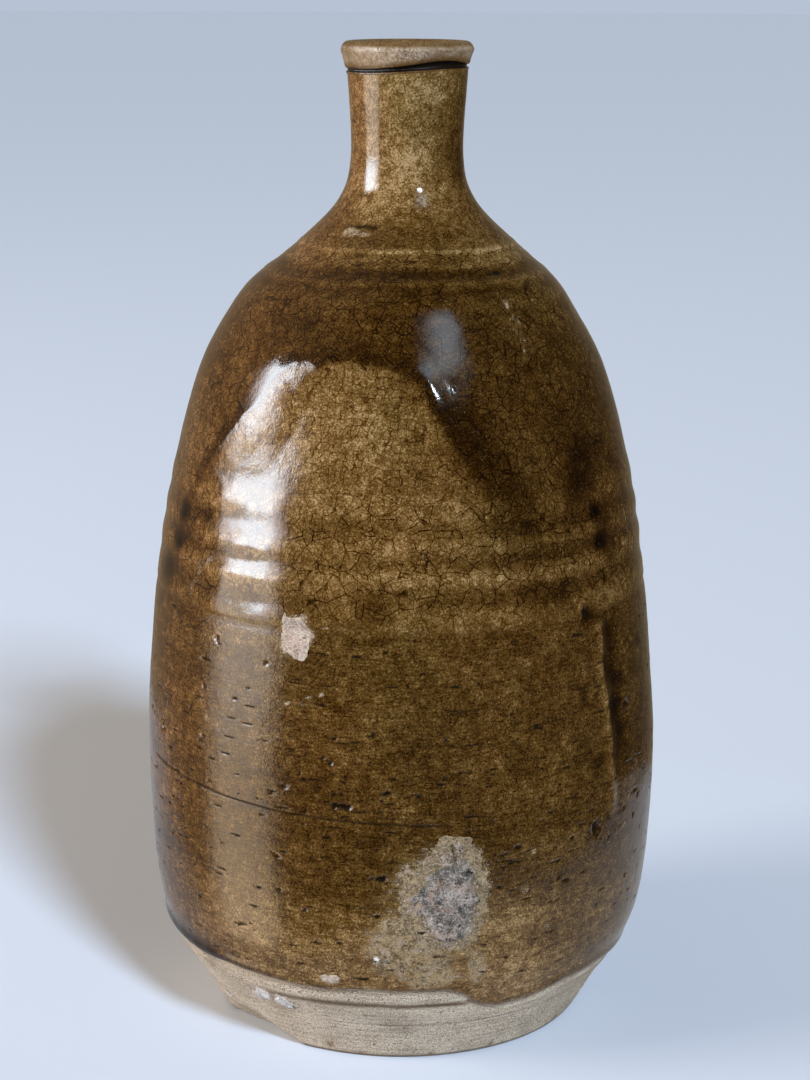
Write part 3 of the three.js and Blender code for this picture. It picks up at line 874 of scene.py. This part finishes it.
def rim_material():
    """Thin, worn glaze on the lip: brown on top, pale and speckled down the side, with painted black shade in
    the joint.
    """
    n = Nodes(bpy.data.materials.new("rim_glaze"))
    fine = n.grain(0.50, 3.0, roughness=0.7)
    grit = n.grain(0.30, 1.0)
    amount = n.total(n.mark("thickness"), (fine, 1.15), (grit, 1.0))
    colour = n.stain(THIN_RIM, RIM_KEEPS, n.math("MAXIMUM", amount, -0.3))
    worn = n.times(n.mark("worn"), n.span(n.add(n.grain(0.8, 3.0, roughness=0.7), grit), -0.35, 0.35))
    colour = n.blend(worn, colour, WORN_RIM)
    # the black mark here is painted shade in the joint under the lip
    colour = n.blend(n.mark("black"), colour, BLACK)
    relief = n.total((fine, 0.5), (grit, 0.4))
    return n.surface(colour, n.span(fine, -1.0, 1.0, 0.07, 0.26), n.bump(relief, 0.07))


def lining_material():
    """Dark, even glaze inside, a little thicker in streaks."""
    n = Nodes(bpy.data.materials.new("inner_glaze"))
    streaks = n.grain(6.0, 3.0, n.stretch((1.0, 1.0, 0.2)))
    fine = n.grain(0.7, 2.0)
    amount = n.add(n.total((streaks, 0.45), (fine, 0.25)), 0.6)
    colour = n.stain(THIN_LINING, LINING_KEEPS, amount)
    colour = n.blend(n.times(n.cracks(4.4, 0.22, 0.5), 0.5), colour, LINING_CRACK)
    return n.surface(colour, n.span(streaks, -1.0, 1.0, 0.18, 0.32), n.bump(n.add(streaks, fine), 0.08))


def grit_material(name, pale, middle, dark, blush, rim):
    """Fused kiln grit: drifting pale, dull and dark patches full of grains, stained near its rim."""
    n = Nodes(bpy.data.materials.new(name))
    cells = n.node("TexVoronoi", {"Vector": n.coords["Object"], "Scale": 1 / (0.55 * MM)}).outputs
    pick = n.node("SeparateColor", {0: cells["Color"]}).outputs
    coarse = n.grain(3.4, 4.0, roughness=0.6)
    fine = n.grain(0.42, 2.0, roughness=0.7)
    level = n.span(n.total((coarse, 0.75), (fine, 0.65), (pick["Red"], 0.9)), -0.25, 1.15)
    colour = n.blend(level, middle, pale)
    colour = n.blend(n.times(n.span(n.grain(5.0, 3.0), 0.0, 0.7), 0.6), colour, blush)
    shadow = n.total(n.grain(3.6, 3.0, roughness=0.6), (fine, 0.75))
    colour = n.blend(n.times(n.span(shadow, 0.0, 0.75), 0.9), colour, dark)
    stained = n.blend(level, tuple(0.42 * c for c in rim), rim)
    in_core = n.span(n.total(n.mark("core"), (coarse, 0.35)), 0.20, 0.70)
    colour = n.blend(in_core, stained, colour)
    colour = n.blend(n.times(n.span(n.grain(0.60, 2.0), 0.35, 0.65), 0.80), colour, dark)
    glint = tuple(min(1.5 * c, 0.8) for c in pale)
    colour = n.blend(n.times(n.span(n.grain(0.50, 1.0), 0.50, 0.75), 0.50), colour, glint)
    colour = n.blend(n.span(n.mark("black"), 0.2, 0.9), colour, BLACK)
    bumps = n.total((cells["Distance"], -1.0), (fine, 0.6))
    return n.surface(colour, n.span(pick["Blue"], 0.0, 1.0, 0.45, 0.95), n.bump(bumps, 0.16))


# ---- the pieces ----

def build_glaze():
    """The outer glaze as four bands of one grid."""
    positions, marks = glazed_wall()
    normals = grid_normals(positions)
    material = glaze_material()
    lower, upper, neck = (len(rows) for rows in glaze_rows())
    middle = lower // 2
    bands = [
        ("glaze_above_foot", 0, middle + 1, "body_wall"),
        ("glaze_trimmed_wall", middle, lower, "body_wall"),
        ("glaze_shoulder_and_dent", lower - 1, lower + upper, "body_wall"),
        ("glaze_neck", lower + upper - 1, lower + upper + neck, "neck"),
    ]
    for name, first, last, clay_node in bands:
        cut = slice(first, last)
        obj = grid_object(name, positions[cut], {k: v[cut] for k, v in marks.items()}, normals[cut])
        finish_piece(obj, material, "amber_glaze", "outer_glaze", clay_node)


FOOT_RINGS = [  # height, strength and half-width of the turned lines on the bare foot
    (3.2, 0.10, 0.7), (5.6, -0.10, 0.5), (7.4, 0.08, 0.6), (12.9, -0.20, 0.22), (15.6, 0.06, 0.8),
    (19.6, -0.14, 0.5),
]
FOOT_UNDERSIDE = [  # radius and height, from the resting ring in to the middle of the recess
    (51.6, 0.25), (50.9, 0), (47, 0), (43.6, 0), (42.6, 0.5), (40.6, 2.6), (39.4, 3.0), (30, 3.0),
    (20, 3.0), (10, 3.1), (0.4, 3.2),
]
FOOT_BEVEL, UNDER_GLAZE, CLAY_STEP = 0.9, 1.6, 0.62  # lowest wall row, reach up under the glaze, set-back
FOOT_RADIUS = 54  # usual radius of the bare foot
CHIP = dict(azimuth=-47.8, reach=47.3, slope=0.9)  # the plane of the lost flake
RUST_SPOTS = [  # azimuth, height, size
    (-21, 3.0, 1.3), (9, 1.2, 0.8), (28, 1.6, 0.9), (-12, 1.0, 0.7), (55, 2.4, 1.0), (140, 4, 1.5),
    (-150, 8, 1.2),
]


def foot_surface(azimuth):
    """Rows of points from under the glaze, down the bare foot, and in under the pot to its middle."""
    edge = glaze_edge(azimuth)
    down = np.linspace(1, 0, 96)[:, None]
    z_wall = FOOT_BEVEL + down * (edge + UNDER_GLAZE - FOOT_BEVEL)
    wall_r = skin(z_wall) - CLAY_STEP * smooth(z_wall - edge, -2.6, -0.2)
    under = turned([(skin(FOOT_BEVEL), FOOT_BEVEL)] + FOOT_UNDERSIDE, 6)[1:]
    shape = (len(under), len(azimuth))
    r = np.concatenate([wall_r, np.broadcast_to(under[:, :1], shape)])
    z = np.concatenate([np.broadcast_to(z_wall, wall_r.shape), np.broadcast_to(under[:, 1:], shape)])
    return r, z, edge


def build_foot():
    azimuth = np.linspace(-180, 180, 561)
    r, z, edge = foot_surface(azimuth)
    az = np.broadcast_to(azimuth, z.shape)
    p = place(az, r, z)
    outside = smooth(z, 0.3, 1.5) * (r > 45)
    offset = outside * (0.22 * noise(p, 40, 71) + 0.07 * fractal(p, 6, 72) + 0.035 * noise(p, 1.4, 73))
    offset += outside * 0.05 * fractal(p * (0.04, 0.04, 1), (1, 1, 1.5), 74)
    offset += outside * rings(p, z, FOOT_RINGS)
    recess_spiral = (r < 40) * 0.10 * np.sin(r * 1.9 + np.radians(az)) * smooth(r, 2, 8)
    p = place(az, r + offset, np.maximum(z, 0) + recess_spiral)
    p, broken = chip(p)
    cut_line = 0.55 * bell(z, 12.9, 0.16) * band(az, -30, 0, 58, 75) * outside
    # the wash mark also carries painted shade towards the foot's right
    marks = dict(wash=foot_wash_and_right_shade(az, z, p, edge) * (1 - broken), rust=rust(az, z), black=cut_line)
    marks = {key: values[::-1] for key, values in marks.items()}
    obj = grid_object("bare_foot", p[::-1], marks, -grid_normals(p)[::-1])
    finish_piece(obj, clay_material(), "foot_clay", "base_and_foot")


def chip(p):
    """Lifts the points below the plane of the break, and roughens the broken face."""
    a = math.radians(CHIP["azimuth"])
    reach = p[..., 0] * math.sin(a) - p[..., 1] * math.cos(a)
    side = p[..., 0] * math.cos(a) + p[..., 1] * math.sin(a)
    plane = (reach - CHIP["reach"]) * CHIP["slope"] - 0.006 * side ** 2
    plane = plane + 0.5 * fractal(p, 5, 75) + 0.15 * noise(p, 1.2, 76)
    lift = np.maximum(plane - p[..., 2], 0)
    lift *= (np.hypot(p[..., 0], p[..., 1]) > 41)
    return p + np.stack([0 * lift, 0 * lift, lift], -1), smooth(lift, 0, 0.3)


def foot_wash_and_right_shade(az, z, p, edge):
    """Thin brown wash: a line under the glaze on the near side, the foot's lowest edge, and stains, with
    painted shade towards the right.
    """
    waver = 0.35 * noise(p, 7, 81)
    line_height = 21.0 - 0.0006 * (az - 8) ** 2
    line = bell(z + waver, line_height, 0.62) * band(az, -46, -26, 13, 22)
    lowest_edge = (1 - smooth(z, 0.5, 1.7 + 0.5 * waver)) * smooth(z, -0.2, 0.1)
    halo = 0.35 * bell(z - edge, -0.2, 0.8)
    # painted shade darker towards the right of the foot, plus random grime
    grime_and_right_shade = 0.10 * smooth(az, 10, 60) + 0.09 * fractal(p, 9, 82)
    return np.clip(0.95 * line + 0.75 * lowest_edge + halo + grime_and_right_shade, 0, 1)


def rust(az, z):
    """Strength of the small rusty spots on the foot."""
    total = np.zeros(z.shape)
    for spot_az, spot_z, size in RUST_SPOTS:
        turn = around(az, spot_az, FOOT_RADIUS)
        total = np.maximum(total, np.exp(-(turn ** 2 + (z - spot_z) ** 2) / size ** 2))
    return total


def joint_rise(azimuth):
    """How much higher than NECK_TOP the neck ends: the joint slants up to the front right."""
    return 1.1 * band(azimuth, -50, 45, 90, 170)


LIP_OUTLINE = [  # radius and height, from the joint under the lip, over its top and down into the bore
    (16.30, 261.4), (16.35, 261.8), (16.2, 262.05), (15.5, 262.15), (15.2, 262.4), (15.4, 262.65),
    (16.1, 262.75), (16.55, 263.0), (16.9, 264.3), (17.4, 266.2), (17.7, 267.5), (17.5, 268.6),
    (16.8, 269.5), (15.9, 269.95), (14.7, 269.95), (13.5, 269.4), (12.4, 268.4), (11.6, 266.6),
    (11.15, 264.4), (11.1, 262.0),
]
BORE = 13.2  # radius inside which the lip turns down into the neck
NICK = dict(azimuth=-2, height=267.0, half_width=0.8, half_height=0.9, depth=0.45)


def build_lip():
    azimuth = np.linspace(-180, 180, 401)
    gape = 0.05 + 1.15 * bell(azimuth, 36, 22) + 0.25 * bell(azimuth, 0, 26)  # how far the joint opens
    outline = turned(LIP_OUTLINE, 9)
    level = outline[:, 1:]
    shape = (len(outline), len(azimuth))
    r, z = np.broadcast_to(outline[:, :1], shape), np.broadcast_to(level, shape)
    az = np.broadcast_to(azimuth, shape)
    flat = place(az, r, z)
    outer = (r > BORE).astype(float)
    below = outer * (1 - smooth(z, 263.4, 269.4))
    above_joint = smooth(z, 262.2, 262.6)
    open_side = 1 - smooth(np.abs(azimuth - 15), 50, 85)
    shut = (1 - smooth(z, 262.9, 263.2)) * (0.75 - 0.75 * open_side)
    r = r + outer * shut * np.clip(16.2 - r, 0, 1)
    z = z + below * (joint_rise(azimuth) + above_joint * (gape + 0.10 * noise(flat, 5, 91)))
    outside = above_joint * smooth(level, 262.8, 263.4) * outer
    rough = 0.10 * fractal(flat, 3, 93) + 0.06 * noise(flat, 1.1, 94)
    offset = 0.12 * noise(flat, 14, 92) + outside * rough
    nick_turn = np.radians(az - NICK["azimuth"]) * 17.5 / NICK["half_width"]
    nick = outer * np.exp(-(nick_turn ** 2 + ((z - NICK["height"]) / NICK["half_height"]) ** 2))
    top = smooth(z + 0.25 * noise(flat, 2.5, 97), 268.3, 269.2)
    thickness = 0.60 + 0.75 * top + 0.40 * fractal(flat, 4, 95) + 1.5 * nick
    thickness += 1.3 * (1 - smooth(level, 263.0, 265.0)) * outer
    worn = (1 - top) * outside * smooth(level, 263.0, 265.5) * np.clip(0.6 + 0.5 * fractal(flat, 5, 96), 0, 1)
    # painted shade: the joint under the lip is painted black
    black = np.clip(1.5 * outer * band(level, 261.85, 262.1, 262.7, 263.1), 0, 1)
    p = place(az, r + offset - NICK["depth"] * nick, z)
    obj = grid_object("lip", p, dict(thickness=thickness, worn=worn, black=black), grid_normals(p))
    finish_piece(obj, rim_material(), "rim_glaze", "lip_band", "rim_glaze")


WALL, THINNER_AT_NECK = 7.0, 1.7  # the wall's thickness, and how much less it is in the neck
INNER_FLOOR = [(50, 12.6), (44, 11.9), (30, 11.8), (15, 11.8), (0.4, 11.8)]  # radius and height


def build_lining():
    """The glazed inside, from the lip's bore down to the floor."""
    heights = turned_rows(16, NECK_TOP, 150)[::-1]
    wall = skin(heights) - (WALL - THINNER_AT_NECK * smooth(heights, 198, 236))
    bottom = turned([(wall[-1], heights[-1])] + INNER_FLOOR, 8)[1:]
    r = np.concatenate([wall, bottom[:, 0]])[:, None]
    z = np.concatenate([heights, bottom[:, 1]])[:, None]
    az, r = np.broadcast_arrays(np.linspace(-180, 180, 241), r)
    z = np.broadcast_to(z, r.shape)
    throwing_spiral = 0.2 * np.sin(z * 0.7 + np.radians(az)) * smooth(z, 20, 40)
    p = place(az, r - 0.5 * dent(az, z, place(az, r, z)) - throwing_spiral, z)
    obj = grid_object("inner_glaze_lining", p, {}, grid_normals(p))
    finish_piece(obj, lining_material(), "inner_glaze", "inner_glaze")


def crust(name, material, spot, peak, cell, seed, nodes=(), ground=None, cracks=()):
    """A ragged crust of grit over an oval patch of the wall; its rim sinks below the surface.

    It lies on the glaze, or at the ground offset from the outline where that is given.
    """
    spot_az, spot_z, half_width, half_height = spot
    radius = float(skin(spot_z))
    reach = 1.35
    columns = int(2 * reach * half_width / cell)
    rows = int(2 * reach * half_height / cell)
    span = math.degrees(reach * half_width / radius)
    azimuth = np.linspace(spot_az - span, spot_az + span, columns + 1)
    heights = np.linspace(spot_z - reach * half_height, spot_z + reach * half_height, rows + 1)
    az, z = np.meshgrid(azimuth, heights)
    p = place(az, skin(z), z)
    offset = wall_relief(az, z)[1] if ground is None else ground
    inside = oval(az, z, p, spot, 0.42)
    lumps = 0.5 + 0.30 * fractal(p, 4.2, seed) + 0.35 * np.abs(noise(p, 1.3, seed + 1))
    lumps = lumps + 0.2 * noise(p, 0.7, seed + 2)
    sunk_rim = 0.6 * (1 - smooth(inside, -0.14, 0.02))
    height = peak * smooth(inside, -0.04, 0.50) * np.clip(lumps, 0.1, 2) - sunk_rim
    split = np.zeros(z.shape)
    for crack in cracks:
        for start, end in zip(crack, crack[1:]):
            split = np.maximum(split, segment(az, z, radius, start, end, 0.52))
    p = place(az, skin(z) + offset + height - 0.5 * split, z)
    pitted = noise(p, 1.7, seed + 3) + 0.6 * noise(p, 0.8, seed + 4)
    dark = np.maximum(split, 0.9 * smooth(pitted, 0.75, 1.1))
    obj = patch_object(name, p, dict(black=dark, core=smooth(inside, 0.05, 0.60)))
    finish_piece(obj, material, "kiln_grit", *nodes)


def segment(az, z, radius, start, end, width):
    """A soft line between two points of the wall, given as azimuth and height: 1 on it."""
    x, y = np.radians(az - start[0]) * radius, z - start[1]
    dx, dy = math.radians(end[0] - start[0]) * radius, end[1] - start[1]
    t = np.clip((x * dx + y * dy) / (dx * dx + dy * dy), 0, 1)
    return np.exp(-((x - t * dx) ** 2 + (y - t * dy) ** 2) / width ** 2)


SCAR_CRACKS = [  # chains of points, as azimuth and height
    ((10.6, 68.5), (11.2, 66.0), (10.9, 63.2)),
    ((3.6, 52.6), (2.7, 50.2), (3.0, 46.8), (4.2, 44.6), (6.0, 44.8)),
    ((8.2, 59.6), (8.8, 58.2)),
]


def build_crusts():
    """The crusts on the two scars, and small lumps of grit on the foot and the glaze."""
    grey, beige, white = (grit_material(name, *colours) for name, colours in GRITS.items())
    crust("scar_crust_large", grey, (10.2, 52.5, 12.4, 16.2), 0.45, 0.28, 101, ("kiln_scar_large",),
          cracks=SCAR_CRACKS)
    crust("scar_crust_small", beige, (-23.1, 122.3, 4.5, 5.4), 0.28, 0.20, 111, ("kiln_scar_small",))
    crust("grit_lump_on_foot", white, (-37.0, 18.2, 4.0, 2.7), 1.3, 0.20, 121, ground=-0.15)
    crust("grit_lump_beside_it", white, (-30.0, 17.2, 4.4, 2.6), 1.1, 0.20, 126, ground=-0.15)
    crust("grit_speck_on_foot", white, (-57, 9.5, 2.0, 1.4), 0.7, 0.20, 131, ground=0.0)
    crust("grit_speck_on_glaze", beige, (-15.7, 28.9, 3.0, 1.6), 0.5, 0.20, 141)
    crust("grit_speck_by_scar", white, (-5.2, 36.3, 0.95, 0.95), 0.6, 0.15, 151)


add_camera()
add_room()
add_floor()
add_lights()
bpy.context.scene.view_settings.view_transform = "Standard"
build_glaze()
build_foot()
build_lip()
build_lining()
build_crusts()
